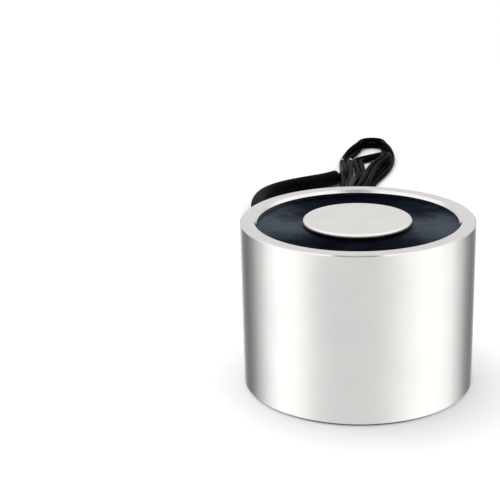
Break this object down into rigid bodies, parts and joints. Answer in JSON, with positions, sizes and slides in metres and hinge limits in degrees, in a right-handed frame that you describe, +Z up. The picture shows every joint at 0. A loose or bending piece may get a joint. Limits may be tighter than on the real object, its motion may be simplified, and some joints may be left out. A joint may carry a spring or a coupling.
{
  "type": "holding electromagnet",
  "caption": "Round holding electromagnet: a nickel-plated steel pot with a flush centre pole, a potted coil, a threaded mounting face and a sleeved two-wire lead laid in a tied hank.",
  "frame": {"origin": "centre of the mounting face, on the pot's axis", "axes": "+Z up the pot's axis to the holding face, +Y out of the lead's exit, +X to the right seen from the front"},
  "size_m": [0.0354, 0.1465, 0.022],
  "materials": {
    "polished_nickel": "bright nickel plate on turned steel",
    "satin_nickel": "satin nickel plate on ground steel",
    "bobbin_nylon": "natural moulded nylon",
    "enamelled_copper": "enamelled copper wire",
    "tinned_copper": "tinned copper strands",
    "coil_tape": "polyester film tape",
    "solder": "tin solder",
    "potting_resin": "cast black epoxy",
    "black_sleeving": "black shrink sleeving",
    "wire_insulation": "black PVC insulation",
    "tie_plastic": "black plastic-covered twist tie"
  },
  "bodies": {
    "root": {"pot_shell": "polished_nickel", "core": "satin_nickel", "bobbin": "bobbin_nylon", "coil_winding": "enamelled_copper", "coil_tape": "coil_tape", "coil_tail_start": "enamelled_copper", "coil_tail_end": "enamelled_copper", "splice_joint_a": "solder", "splice_joint_b": "solder", "splice_sleeve_a": "black_sleeving", "splice_sleeve_b": "black_sleeving", "potting_resin": "potting_resin", "lead_conductor_a": "tinned_copper", "lead_conductor_b": "tinned_copper", "lead_wire_a": "wire_insulation", "lead_wire_b": "wire_insulation", "lead_sleeve": "black_sleeving", "lead_hank": "wire_insulation", "lead_tie": "tie_plastic"}
  },
  "joints": []
}
